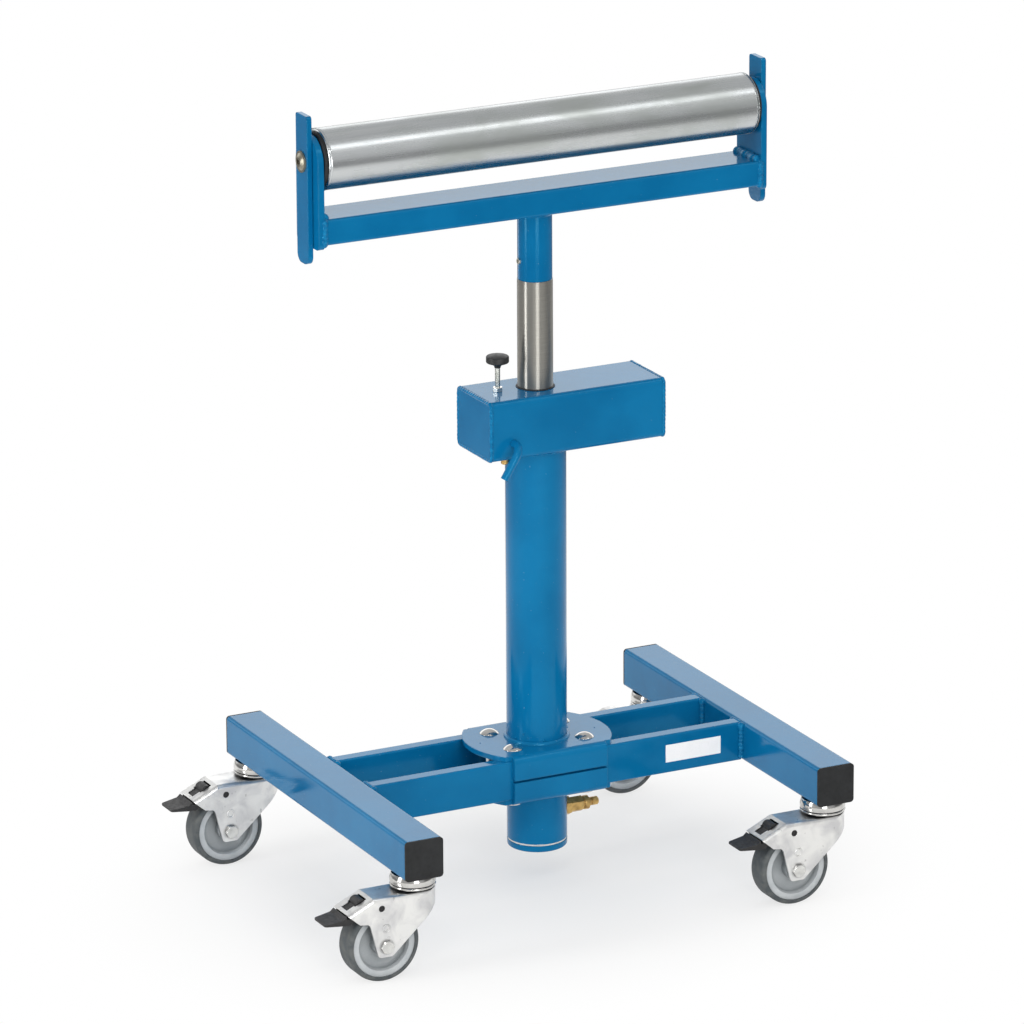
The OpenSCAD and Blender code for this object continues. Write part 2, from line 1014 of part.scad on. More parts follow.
// polished swivel cup: bulging bowl, groove and bead, with its king bolt and nut
module caster_head() {
    bowl_r = 14;
    seam = cup_h * 0.73;
    groove = 0.8;
    bead = (cup_h - seam - groove) / 2;
    head_z = crown_z - fork_t - run_gap;
    color(zinc) {
        rotate_extrude() {
            intersection() {
                translate([cup_d / 2 - bowl_r, -bowl_r / 2])
                    circle(r = bowl_r);
                translate([0, -seam])
                    square([cup_d, seam]);
            }
            translate([0, -seam - groove])
                square([cup_d / 2 - 1.5, groove]);
            translate([0, -cup_h])
                square([cup_d / 2 - bead, 2 * bead]);
            translate([cup_d / 2 - bead, -cup_h + bead])
                circle(r = bead);
            translate([0, crown_z + run_gap])
                square([fork_w / 2 - 3, cup_h]);
        }
        translate([0, 0, head_z - 4])
            cylinder(d = king_d + 7, h = 4);
        translate([0, 0, head_z])
            cylinder(d = king_d, h = foot_wall + king_nut_h + 2 - head_z);
        translate([0, 0, foot_wall])
            linear_extrude(king_nut_h)
                hexagon(king_d + 6);
    }
}

// side view of the pressed fork as one flat outline
module fork_outline() {
    toe_r = 4;
    heel = axle_z - 10.5;
    polygon([[fork_w, -cup_h], [slope_end, -cup_h],
             [slope_end, crown_z - slope_drop - 1],
             [crown_end - 14.6, crown_z - 23.5],
             [-trail - 19.2, crown_z - 24.7], [-trail - 17, crown_z - 27],
             [-trail - 9.2, heel + toe_r - 1], [-trail - 5.3, heel],
             [-trail + 4.7, heel], [-trail + 7.4, heel + 1.05],
             [fork_w, crown_z]]);
    for (x = [-trail - 5.3, -trail + 4.7])
        translate([x, heel + toe_r])
            circle(r = toe_r);
}

// outer or inner block of the pressing, g smaller all round
module fork_block(g) {
    half = fork_w / 2 - g;
    far = 3 * trail;
    intersection() {
        translate([0, 0, -2 * caster_h])
            linear_extrude(2 * caster_h) {
                translate([nose_x, 0])
                    circle(r = half);
                translate([-far, -half])
                    square([far + nose_x, 2 * half]);
            }
        translate([0, 0, crown_z - g - caster_h])
            along_x(2 * far)
                fork_section(half, edge_bend - g);
        translate([crown_end, 0, crown_z])
            rotate([0, -slope, 0])
                translate([0, 0, -g - caster_h])
                    along_x(4 * far)
                        fork_section(half, hood_edge - g);
    }
}

// section of the pressing, its bends meet the flats with a faint crease
module fork_section(half, bend) {
    crease = 0.04;
    intersection() {
        square([2 * half, 2 * caster_h], center = true);
        round_rect(2 * (half + crease), 2 * (caster_h + crease), bend);
    }
}

// pressed fork: crown, sloping hood with window, two cheeks, round nose
module caster_fork() {
    color(zinc)
        difference() {
            intersection() {
                fork_block(0);
                along_y(2 * fork_w)
                    fork_outline();
            }
            fork_block(fork_t);
            translate([0, 0, crown_z - 2 * fork_t])
                cylinder(d = king_d + 2 * fit_gap, h = 3 * fork_t);
            translate([pivot_x, 0, pivot_z])
                rotate([90, 0, 0])
                    cylinder(d = pivot_d, h = 2 * fork_w, center = true);
            translate([-trail, 0, axle_z])
                rotate([90, 0, 0])
                    cylinder(d = wheel_axle_d + 2 * fit_gap, h = 2 * fork_w, center = true);
            hood_window();
        }
}

// stepped opening in the sloping hood
module hood_window() {
    translate([crown_end, 0, crown_z])
        rotate([0, -slope, 0])
            translate([0, 0, -2 * fork_t])
                linear_extrude(4 * fork_t) {
                    translate([-window_step, -window_w / 2])
                        square([window_step - window_near, window_w]);
                    translate([-window_far, -window_far_w / 2])
                        square([window_far - window_step + 1, window_far_w]);
                }
}

// wheel bolt with hexagon head in front and nut behind
module caster_axle() {
    head_af = 12;
    out = fork_w / 2;
    color(zinc)
        translate([-trail, 0, axle_z])
            rotate([90, 0, 0]) {
                cylinder(d = wheel_axle_d, h = 2 * out, center = true);
                for (s = [-1, 1])
                    mirror([0, 0, s > 0 ? 0 : 1]) {
                        translate([0, 0, out])
                            intersection() {
                                linear_extrude(3.5)
                                    hexagon(head_af);
                                cylinder(d1 = head_af + 7, d2 = head_af, h = 3.5);
                            }
                        translate([0, 0, wheel_w / 2 + 1])
                            cylinder(d = head_af, h = fork_in - wheel_w / 2 - 1);
                    }
            }
}

// dished rim: outer band, web and hub
module caster_rim() {
    rim_r = wheel_d / 2 - tyre_t;
    half = wheel_w / 2 - 1;
    hub_r = 11;
    color(grey)
        translate([-trail, 0, axle_z])
            rotate([90, 0, 0])
                difference() {
                    union() {
                        cylinder(r = rim_r, h = 2 * half, center = true);
                        cylinder(r = hub_r, h = wheel_w + 2 - 2 * run_gap, center = true);
                    }
                    for (s = [-1, 1])
                        mirror([0, 0, s > 0 ? 0 : 1])
                            translate([0, 0, half])
                                rim_dish(hub_r, rim_r - 6);
                    cylinder(d = wheel_axle_d + 2 * fit_gap, h = 2 * wheel_w, center = true);
                }
}

// hollow between hub and ring: flared mouth, round corner, flat floor
module rim_dish(hub_r, mouth_r) {
    wall_r = mouth_r - 1.5;
    rotate_extrude() {
        polygon([[hub_r, 1], [mouth_r + 0.4, 1], [wall_r, dish_corner - dish_d],
                 [hub_r, dish_corner - dish_d]]);
        translate([hub_r, -dish_d])
            square([wall_r - dish_corner - hub_r, dish_d]);
        translate([wall_r - dish_corner, dish_corner - dish_d])
            circle(r = dish_corner);
    }
}

// rubber tyre with rounded shoulders
module caster_tyre() {
    r = wheel_d / 2;
    shoulder = 4;
    color(rubber)
        translate([-trail, 0, axle_z])
            rotate([90, 0, 0])
                rotate_extrude()
                    difference() {
                        union() {
                            translate([r - tyre_t, -wheel_w / 2])
                                square([tyre_t - shoulder, wheel_w]);
                            translate([r - tyre_t, -wheel_w / 2 + shoulder])
                                square([tyre_t, wheel_w - 2 * shoulder]);
                            for (s = [-1, 1])
                                translate([r - shoulder, s * (wheel_w / 2 - shoulder)])
                                    circle(r = shoulder);
                        }
                        translate([0, -wheel_w])
                            square([r - tyre_t, 2 * wheel_w]);
                    }
}

// brake pedal: wedge, lump that shows in the window, two arms on pivot pegs
module caster_pedal() {
    tip_z = crown_z - 19.5;
    gap = 0.4;
    color(black)
        union() {
            difference() {
                union() {
                    pedal_wedge(tip_z);
                    pedal_lump();
                }
                // room for the tyre at rest and with the pedal pressed
                for (a = [0, press_angle / 2, press_angle])
                    translate([pivot_x, 0, pivot_z])
                        rotate([0, a, 0])
                            translate([-trail - pivot_x, 0, axle_z - pivot_z])
                                rotate([90, 0, 0])
                                    cylinder(r = wheel_d / 2 + gap, h = 2 * fork_w, center = true);
            }
            for (s = [-1, 1])
                mirror([0, s > 0 ? 0 : 1, 0])
                    pedal_arm();
        }
}

// thin wedge outside the hood and its root below the hood
module pedal_wedge(tip_z) {
    root_z = crown_z - slope_drop - 1;
    drop = root_z - 9.2;
    lip = 1.8;
    tip_r = 2.5;
    intersection() {
        along_y(2 * arm_out)
            union() {
                polygon([[slope_end - 0.8, root_z - 0.6], [slope_end - 4.6, tip_z + 2.5],
                         [pedal_tip, tip_z], [pedal_tip, tip_z - lip],
                         [slope_end - 5, drop], [slope_end + 3, drop],
                         [slope_end + 12, drop + 4], [slope_end + 12, root_z - 5],
                         [slope_end - 0.8, root_z - 3]]);
                polygon([[slope_end + 1, root_z - 3.2], [slope_end - 1, drop],
                         [crown_end - 5, drop + 6], [crown_end - 4, crown_z - 7.5]]);
            }
        translate([0, 0, -2 * caster_h])
            linear_extrude(2 * caster_h)
                union() {
                    polygon([[0, -arm_out], [slope_end, -arm_out],
                             [pedal_tip + tip_r, -arm_out + 2.5],
                             [pedal_tip + tip_r, arm_out - 2.5],
                             [slope_end, arm_out], [0, arm_out]]);
                    translate([pedal_tip + tip_r, 0])
                        rotate([0, 0, 90])
                            bar_end(2 * arm_out - 5, tip_r);
                }
    }
}

// round lump that stands up through the window, and the low block beside it
module pedal_lump() {
    lump_x = -(window_step + window_near) / 2;
    lump_r = (window_step - window_near) / 2 - window_gap;
    rise = 2.6;
    block_h = 7;
    block_end = -window_far + window_gap;
    translate([crown_end, 0, crown_z])
        rotate([0, -slope, 0]) {
            along_y(window_w - 2 * window_gap)
                translate([lump_x, rise - lump_r])
                    circle(r = lump_r);
            along_y(window_far_w - 2 * window_gap)
                translate([block_end, -block_h - 1])
                    square([lump_x - block_end, block_h]);
        }
}

module pedal_arm() {
    arm_r = 5;
    translate([0, (arm_in + arm_out) / 2, 0])
        along_y(arm_out - arm_in)
            union() {
                translate([pivot_x, pivot_z])
                    circle(r = arm_r);
                polygon([[pivot_x, pivot_z + arm_r], [crown_end - 4, crown_z - 8],
                         [crown_end - 10, crown_z - 20], [pivot_x, pivot_z - arm_r]]);
            }
    translate([pivot_x, arm_in, pivot_z])
        rotate([-90, 0, 0])
            cylinder(d = pivot_d - 2 * fit_gap, h = fork_w / 2 - arm_in - 1);
}

foot_left();
foot_right();
foot_caps();
beam_front();
beam_rear();
clamp_top();
clamp_bottom();
clamp_bolts();
clamp_nuts();
column_tube();
column_ring();
column_cap();
air_coupling();
head_box();
box_ends();
hook();
wiper_ring();
guide_bush();
valve_outlet();
valve_nut();
valve_knob();
piston();
piston_rod();
neck_tube();
set_screw();
crossbeam();
upright_left();
upright_right();
stop_washers();
roller_axle();
axle_bolts();
roller_tube();
roller_caps();
stop_left();
stop_right();
at_caster(-1, -1) caster_head();  // head_fl
at_caster(-1, -1) caster_fork();  // fork_fl
at_caster(-1, -1) caster_axle();  // axle_fl
at_caster(-1, -1) caster_rim();  // rim_fl
at_caster(-1, -1) caster_tyre();  // tyre_fl
at_caster(-1, -1) caster_pedal();  // pedal_fl
at_caster(1, -1) caster_head();  // head_fr
at_caster(1, -1) caster_fork();  // fork_fr
at_caster(1, -1) caster_axle();  // axle_fr
at_caster(1, -1) caster_rim();  // rim_fr
at_caster(1, -1) caster_tyre();  // tyre_fr
at_caster(1, -1) caster_pedal();  // pedal_fr
at_caster(-1, 1) caster_head();  // head_rl
at_caster(-1, 1) caster_fork();  // fork_rl
at_caster(-1, 1) caster_axle();  // axle_rl
at_caster(-1, 1) caster_rim();  // rim_rl
at_caster(-1, 1) caster_tyre();  // tyre_rl
at_caster(-1, 1) caster_pedal();  // pedal_rl
at_caster(1, 1) caster_head();  // head_rr
at_caster(1, 1) caster_fork();  // fork_rr
at_caster(1, 1) caster_axle();  // axle_rr
at_caster(1, 1) caster_rim();  // rim_rr
at_caster(1, 1) caster_tyre();  // tyre_rr
at_caster(1, 1) caster_pedal();  // pedal_rr
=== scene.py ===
import math
import random

import bmesh
import bpy
from mathutils import Matrix, Vector


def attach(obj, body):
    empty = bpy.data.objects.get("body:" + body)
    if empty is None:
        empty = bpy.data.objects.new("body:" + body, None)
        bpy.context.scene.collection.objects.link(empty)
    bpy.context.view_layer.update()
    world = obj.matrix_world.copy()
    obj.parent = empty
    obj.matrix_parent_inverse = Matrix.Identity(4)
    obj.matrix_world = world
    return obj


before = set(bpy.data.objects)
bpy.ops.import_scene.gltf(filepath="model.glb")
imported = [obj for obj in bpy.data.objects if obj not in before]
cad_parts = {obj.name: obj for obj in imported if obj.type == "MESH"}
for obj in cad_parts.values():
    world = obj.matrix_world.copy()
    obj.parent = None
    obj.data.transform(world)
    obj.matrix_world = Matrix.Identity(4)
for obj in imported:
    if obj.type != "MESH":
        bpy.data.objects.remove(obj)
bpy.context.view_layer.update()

# Sizes repeated from the part's source, in metres. x runs along the roller and z is up.
MM = 0.001
COLUMN_X = 35.8 * MM
COLUMN_R = 30 * MM
FOOT_TOP = 142.5 * MM
PLATE_TOP = 147.5 * MM
FOOT_X = 224 * MM
FOOT_HALF = 20 * MM
BEAM_Y = 41 * MM
BEAM_HALF_Y = 7.5 * MM
BOX_LOW = 447.5 * MM
BOX_HIGH = 507.5 * MM
BOX_LEFT = COLUMN_X - 67 * MM
BOX_RIGHT = COLUMN_X + 124 * MM
BOX_HALF_Y = 36.5 * MM
NECK_R = 17 * MM
CROSS_TOP = 710 * MM
CROSS_LOW = CROSS_TOP - 25.5 * MM
CROSS_HALF_Y = 25 * MM
UPRIGHT_IN = 235.6 * MM
STUD_TOP = 531.5 * MM
ROLLER_Z = 763.5 * MM
ROLLER_R = 30 * MM
ROLLER_HALF = 231.5 * MM
CASTER_Y = 178.5 * MM
CASTER_TOP = 102.5 * MM
FORK_HALF = 18 * MM

CASTERS = {
    "fl": (COLUMN_X - FOOT_X, -CASTER_Y),
    "fr": (COLUMN_X + FOOT_X, -CASTER_Y),
    "rl": (COLUMN_X - FOOT_X, CASTER_Y),
    "rr": (COLUMN_X + FOOT_X, CASTER_Y),
}

# The camera, fitted to the straight edges of the photo.
CAMERA_AT = (-2.894377, -5.782743, 2.448009)
CAMERA_RIGHT = Vector((0.894195, -0.447640, -0.005753))
CAMERA_UP = Vector((0.136988, 0.261366, 0.955470))
CAMERA_AHEAD = Vector((0.426203, 0.855165, -0.295034))
CAMERA_LENS = 244.416
CAMERA_SENSOR = 36
CAMERA_SHIFT = (0.020124, -0.064455)
CAMERA_CLIP = (0.5, 60)

# Level directions of the room: away from the camera, and to its right.
AWAY = (0.446, 0.895, 0)
RIGHTWARD = (0.895, -0.446, 0)

# Half the width of the floor.
FLOOR_REACH = 40

# Parts of a noise's range: soft patches, and a gentle drift.
PATCHES = (0.35, 0.65)
DRIFT = (0.3, 0.7)

# Lamps: name, place, target, size, power, and whether the gloss shows them.
LAMPS = (
    ("key", (-0.3, -1.9, 2.6), (0, 0, 0.6), (1.4, 1.1), 6, False),
    ("top", (0.1, 0.4, 4.2), (0, 0, 0.3), (3.4, 2.6), 21, False),
    ("front_strip", (-0.4, -2.17, 0.7), (0, 0, 0.6), (0.8, 1.3), 14, True),
    ("side_strip", (-2.2, -0.06, 0.7), (0, 0, 0.6), (0.52, 1.3), 15, True),
    ("roller_band", (1.0, -1.25, 2.5), (0, 0, 0.75), (1.1, 0.5), 3, True),
    ("spark", (-1.1, -1.7, 2.3), (0, 0, 0.4), (0.2, 0.2), 4, True),
)

# Grey levels of the room by height, from level (0) to straight up (1).
ROOM_BEHIND_OBJECT = ((0.0, 0.7), (0.1, 0.9), (0.2, 1.65), (0.36, 1.65), (0.5, 0.6), (1.0, 0.55))
ROOM_BEHIND_CAMERA = ((0.0, 0.5), (0.12, 0.6), (0.5, 0.74), (0.75, 0.5), (1.0, 0.55))


def add_camera():
    cam = bpy.data.cameras.new("camera")
    cam.lens = CAMERA_LENS
    cam.sensor_width = CAMERA_SENSOR
    cam.shift_x, cam.shift_y = CAMERA_SHIFT
    cam.clip_start, cam.clip_end = CAMERA_CLIP
    obj = bpy.data.objects.new("camera", cam)
    bpy.context.scene.collection.objects.link(obj)
    turn = Matrix((CAMERA_RIGHT, CAMERA_UP, -CAMERA_AHEAD)).transposed()
    obj.matrix_world = Matrix.Translation(CAMERA_AT) @ turn.to_4x4()
    bpy.context.scene.camera = obj


def linear(r, g, b):
    """A screen colour, 0 to 255, as the linear colour that a shader takes."""
    def one(c):
        c = c / 255
        return c / 12.92 if c <= 0.04045 else ((c + 0.055) / 1.055) ** 2.4
    return (one(r), one(g), one(b), 1.0)


class Nodes:
    """Short ways to add nodes to one tree and to join them."""

    def __init__(self, tree):
        self.tree = tree

    def add(self, kind, **props):
        made = self.tree.nodes.new(kind)
        for key, value in props.items():
            setattr(made, key, value)
        return made

    def link(self, out, socket):
        self.tree.links.new(out, socket)

    def feed(self, socket, value):
        """Link an output to the socket, or set the socket to a number or colour."""
        if hasattr(value, "is_linked"):
            self.link(value, socket)
        else:
            socket.default_value = value

    def math(self, operation, a, b=0.0):
        made = self.add("ShaderNodeMath", operation=operation)
        self.feed(made.inputs[0], a)
        self.feed(made.inputs[1], b)
        return made.outputs[0]

    def times(self, *values):
        """The product of two or more values."""
        result = values[0]
        for value in values[1:]:
            result = self.math("MULTIPLY", result, value)
        return result

    def spread(self, value, low, high, to_low=0.0, to_high=1.0, kind="LINEAR"):
        """The range from low to high stretched to another range, and held at its ends."""
        remap = self.add("ShaderNodeMapRange", interpolation_type=kind)
        numbers = (low, high, to_low, to_high)
        for socket, number in zip(("From Min", "From Max", "To Min", "To Max"), numbers):
            remap.inputs[socket].default_value = number
        self.link(value, remap.inputs["Value"])
        return remap.outputs["Result"]

    def ease(self, value, low, high, to_low=0.0, to_high=1.0):
        """Like spread, with soft ends."""
        return self.spread(value, low, high, to_low, to_high, "SMOOTHSTEP")

    def blend(self, factor, a, b):
        mix = self.add("ShaderNodeMix", data_type="RGBA")
        self.feed(mix.inputs["Factor"], factor)
        self.feed(mix.inputs["A"], a)
        self.feed(mix.inputs["B"], b)
        return mix.outputs["Result"]

    def mix_shaders(self, factor, first, second):
        mix = self.add("ShaderNodeMixShader")
        for socket, out in zip(mix.inputs, (factor, first, second)):
            self.link(out, socket)
        return mix.outputs[0]

    def along(self, vector, direction):
        """How far a vector reaches along a direction."""
        dot = self.add("ShaderNodeVectorMath", operation="DOT_PRODUCT")
        self.feed(dot.inputs[0], vector)
        self.feed(dot.inputs[1], direction)
        return dot.outputs["Value"]

    def length(self, vector):
        made = self.add("ShaderNodeVectorMath", operation="LENGTH")
        self.link(vector, made.inputs[0])
        return made.outputs["Value"]


class Surface(Nodes):
    """A material with one shader, patterned by the object's own coordinates."""

    def __init__(self, name, **values):
        self.mat = bpy.data.materials.new(name)
        self.mat.use_nodes = True
        super().__init__(self.mat.node_tree)
        self.bsdf = self.tree.nodes["Principled BSDF"]
        for socket, value in values.items():
            self.bsdf.inputs[socket.replace("_", " ")].default_value = value
        self.coord = self.add("ShaderNodeTexCoord").outputs["Object"]

    def noise(self, scale, detail=3, stretch=(1, 1, 1), shift=0.0, roughness=0.5, distortion=0.0):
        """A noise over the surface. The shift moves it, so that two patterns differ."""
        mapping = self.add("ShaderNodeMapping")
        mapping.inputs["Scale"].default_value = stretch
        mapping.inputs["Location"].default_value = (shift, shift * 0.7, shift * 1.3)
        self.link(self.coord, mapping.inputs["Vector"])
        tex = self.add("ShaderNodeTexNoise")
        tex.inputs["Scale"].default_value = scale
        tex.inputs["Detail"].default_value = detail
        tex.inputs["Roughness"].default_value = roughness
        tex.inputs["Distortion"].default_value = distortion
        self.link(mapping.outputs[0], tex.inputs["Vector"])
        return tex.outputs["Fac"]

    def tones(self, factor, first, second):
        """From one screen colour to another."""
        return self.blend(factor, linear(*first), linear(*second))

    def over(self, base, colour, mask, amount=1.0):
        """A screen colour laid over the base where the mask is, by the amount."""
        if amount != 1.0:
            mask = self.times(mask, amount)
        return self.blend(mask, base, linear(*colour))

    def rounded(self, radius, samples=6):
        """The surface's direction with its edges rounded."""
        bevel = self.add("ShaderNodeBevel", samples=samples)
        bevel.inputs["Radius"].default_value = radius
        return bevel.outputs["Normal"]

    def edges(self, radius, low, high):
        """1 on edges that stand out or fold in, 0 on the flats."""
        flat = self.add("ShaderNodeNewGeometry").outputs["Normal"]
        straight = self.along(self.rounded(radius, 4), flat)
        return self.spread(self.math("SUBTRACT", 1.0, straight), low, high)

    def painted_shade(self, base, dark, reach, low, high):
        """Painted shade: the base in the open, and a dark colour in hollows and beside other
        pieces, where ambient occlusion finds them.
        """
        occlusion = self.add("ShaderNodeAmbientOcclusion", samples=8)
        occlusion.inputs["Distance"].default_value = reach
        return self.blend(self.spread(occlusion.outputs["AO"], low, high), linear(*dark), base)

    def colour(self, value):
        self.feed(self.bsdf.inputs["Base Color"], value)

    def rough(self, value):
        self.feed(self.bsdf.inputs["Roughness"], value)

    def bump(self, height, depth, strength, normal=None):
        made = self.add("ShaderNodeBump")
        made.inputs["Strength"].default_value = strength
        made.inputs["Distance"].default_value = depth
        self.link(height, made.inputs["Height"])
        if normal is not None:
            self.link(normal, made.inputs["Normal"])
        self.link(made.outputs["Normal"], self.bsdf.inputs["Normal"])


PAINT = {"IOR": 1.46, "Specular_Tint": (0.24, 0.8, 1.0, 1.0)}


def blue_paint():
    """Glossy paint with faint clouds, thin edges, dust specks and an orange peel."""
    edge = 1.2 * MM
    s = Surface("blue_paint", Roughness=0.2, **PAINT)
    cloud = s.noise(14, 4, shift=0.3)
    grain = s.noise(900, 2)
    dust = s.spread(s.noise(420, 2, shift=2.1), 0.735, 0.76)
    base = s.tones(s.spread(cloud, *PATCHES), (3, 99, 149), (8, 110, 161))
    base = s.over(base, (44, 140, 188), s.edges(edge, 0.02, 0.5), 0.35)
    s.colour(s.over(base, (150, 180, 200), dust, 0.25))
    s.rough(s.math("ADD", s.spread(cloud, *DRIFT, 0.07, 0.13), s.spread(grain, *DRIFT, 0.0, 0.03)))
    waves = s.times(s.noise(60, 2, shift=4.0), 1.8)
    peel = s.math("ADD", s.noise(330, 2, shift=1.0), waves)
    s.bump(peel, 0.05 * MM, 0.6, s.rounded(edge))
    return s.mat


def knob_and_stud():
    """Black knob above, bright stud below its neck."""
    s = Surface("knob_and_stud", IOR=1.46)
    split = s.add("ShaderNodeSeparateXYZ")
    s.link(s.coord, split.inputs[0])
    metal = s.math("LESS_THAN", split.outputs["Z"], STUD_TOP)
    grain = s.spread(s.noise(240, 3, shift=1.0), *DRIFT)
    black = s.tones(grain, (30, 31, 32), (46, 47, 48))
    zinc = s.tones(grain, (196, 200, 194), (222, 224, 218))
    s.colour(s.blend(metal, black, zinc))
    s.link(metal, s.bsdf.inputs["Metallic"])
    s.rough(s.math("ADD", s.times(metal, -0.16), s.spread(grain, 0.0, 1.0, 0.34, 0.5)))
    s.bump(s.noise(900, 3, shift=2.0), 0.04 * MM, 0.5, s.rounded(0.6 * MM))
    return s.mat


def pedal_plastic():
    """Black plastic, worn pale on its edges."""
    s = Surface("pedal_plastic", Roughness=0.45, IOR=1.5)
    base = s.tones(s.spread(s.noise(120, 4), *PATCHES), (22, 22, 24), (36, 35, 36))
    s.colour(s.over(base, (96, 94, 92), s.edges(1.0 * MM, 0.02, 0.5), 0.4))
    s.rough(s.spread(s.noise(300, 3, shift=1.0), *DRIFT, 0.34, 0.55))
    s.bump(s.noise(1500, 2, shift=2.0), 0.04 * MM, 0.5, s.rounded(0.7 * MM))
    return s.mat


def polished_zinc():
    """Shiny plated steel with fine upright scratches, and painted shade in its hollows and beside
    other pieces.
    """
    s = Surface("polished_zinc", Metallic=1.0, Roughness=0.12)
    base = s.tones(s.spread(s.noise(80, 4), *DRIFT), (196, 195, 192), (224, 223, 220))
    # painted shade: dark grey where ambient occlusion finds hollows and nearby pieces
    s.colour(s.painted_shade(base, (84, 84, 86), 5 * MM, 0.45, 0.95))
    scratch = s.noise(260, 4, stretch=(1, 1, 9), shift=1.0)
    s.rough(s.spread(scratch, 0.3, 0.75, 0.07, 0.2))
    s.bump(s.noise(240, 3, shift=2.0), 0.02 * MM, 0.4, s.rounded(0.6 * MM))
    return s.mat


def worn_zinc():
    """Dull yellowish plating of the axle bolts."""
    s = Surface("worn_zinc", Metallic=1.0, Roughness=0.32)
    stain = s.noise(120, 4, distortion=0.4)
    s.colour(s.tones(s.spread(stain, *DRIFT), (166, 162, 146), (146, 141, 126)))
    s.rough(s.spread(stain, *DRIFT, 0.27, 0.37))
    s.bump(s.noise(240, 3, shift=2.0), 0.02 * MM, 0.4, s.rounded(0.5 * MM))
    return s.mat


def pressed_zinc():
    """Pale plating of the forks, with blotches, a few dark stains, and painted shade in hollows
    and beside other pieces.
    """
    s = Surface("pressed_zinc", Metallic=1.0, Roughness=0.34)
    blotch = s.noise(48, 5, shift=0.5, distortion=0.6)
    fine = s.noise(420, 4, shift=1.5)
    stain = s.spread(s.noise(150, 3, shift=3.5), 0.66, 0.72)
    base = s.tones(s.spread(blotch, 0.38, 0.66), (246, 246, 244), (216, 216, 217))
    base = s.over(base, (150, 148, 145), stain, 0.45)
    # painted shade: grey where ambient occlusion finds hollows and nearby pieces
    s.colour(s.painted_shade(base, (120, 120, 122), 4 * MM, 0.4, 0.9))
    s.rough(s.math("ADD", s.spread(blotch, *DRIFT, 0.27, 0.38), s.spread(fine, *DRIFT, 0.0, 0.08)))
    s.bump(s.math("ADD", fine, s.times(blotch, 3.0)), 0.03 * MM, 0.5, s.rounded(0.8 * MM))
    return s.mat


def galvanised_roller():
    """Drawn tube: streaks along it, and dull clouds."""
    s = Surface("galvanised_roller", Metallic=1.0, Roughness=0.3)
    streak = s.noise(170, 4, stretch=(0.03, 1, 1), shift=0.4, roughness=0.6)
    fine = s.noise(900, 3, stretch=(0.02, 1, 1), shift=1.4, roughness=0.6)
    cloud = s.noise(30, 5, stretch=(0.5, 1, 1), shift=2.2, distortion=0.5)
    base = s.tones(s.spread(streak, *DRIFT), (202, 206, 208), (213, 216, 217))
    s.colour(s.over(base, (178, 184, 178), s.spread(cloud, 0.4, 0.7, 0.0, 0.6)))
    s.rough(s.math("ADD", s.spread(cloud, *DRIFT, 0.2, 0.29), s.spread(fine, *DRIFT, 0.0, 0.06)))
    s.bump(s.math("ADD", fine, s.times(streak, 0.5)), 0.009 * MM, 0.5, s.rounded(0.5 * MM))
    return s.mat


def ground_rod():
    """Rod ground on a lathe: fine rings, and gloss drawn out along it."""
    s = Surface("ground_rod", Metallic=1.0, Roughness=0.36,
                Anisotropic=1.0, Anisotropic_Rotation=0.25)
    lathe = s.add("ShaderNodeTangent", direction_type="RADIAL", axis="Z")
    s.link(lathe.outputs[0], s.bsdf.inputs["Tangent"])
    ring_marks = s.noise(2600, 3, stretch=(0.03, 0.03, 1), shift=0.4, roughness=0.6)
    cloud = s.noise(60, 4, stretch=(1, 1, 0.15), shift=1.1)
    base = s.tones(s.spread(ring_marks, *DRIFT), (158, 156, 149), (180, 178, 171))
    s.colour(s.over(base, (148, 146, 139), s.spread(cloud, 0.4, 0.7, 0.0, 0.4)))
    s.rough(s.spread(ring_marks, *DRIFT, 0.32, 0.42))
    s.bump(ring_marks, 0.006 * MM, 0.5)
    return s.mat


def brass():
    """Tarnished brass, brighter on its corners."""
    s = Surface("brass", Metallic=0.62, Roughness=0.34)
    tarnish = s.noise(180, 4, distortion=0.4)
    base = s.tones(s.spread(tarnish, 0.35, 0.7), (222, 184, 112), (168, 132, 78))
    s.colour(s.over(base, (240, 210, 150), s.edges(0.5 * MM, 0.02, 0.4), 0.5))
    s.rough(s.spread(tarnish, *DRIFT, 0.28, 0.48))
    lines = s.noise(900, 3, stretch=(1, 0.1, 0.1), shift=2.0)
    s.bump(lines, 0.02 * MM, 0.5, s.rounded(0.35 * MM))
    return s.mat


def rim_plastic():
    """Grey plastic, with painted shade in the rim's dish and beside other pieces."""
    s = Surface("rim_plastic", Roughness=0.42, IOR=1.48)
    base = s.tones(s.spread(s.noise(70, 4), *PATCHES), (184, 189, 192), (200, 204, 206))
    # painted shade: darker grey deep in the dish and next to the fork, from ambient occlusion
    s.colour(s.painted_shade(base, (124, 130, 133), 16 * MM, 0.35, 0.95))
    s.rough(s.spread(s.noise(400, 3, shift=1.0), *DRIFT, 0.36, 0.5))
    s.bump(s.noise(1300, 2, shift=2.0), 0.03 * MM, 0.4, s.rounded(0.7 * MM))
    return s.mat


def tyre_rubber():
    """Grey rubber with dust on it."""
    s = Surface("tyre_rubber", Roughness=0.62, IOR=1.5)
    dust = s.noise(90, 4, distortion=0.4)
    s.colour(s.tones(s.spread(dust, 0.4, 0.68), (71, 77, 80), (99, 102, 101)))
    s.rough(s.spread(dust, *DRIFT, 0.52, 0.72))
    s.bump(s.noise(1000, 4, shift=2.0), 0.06 * MM, 0.5)
    return s.mat


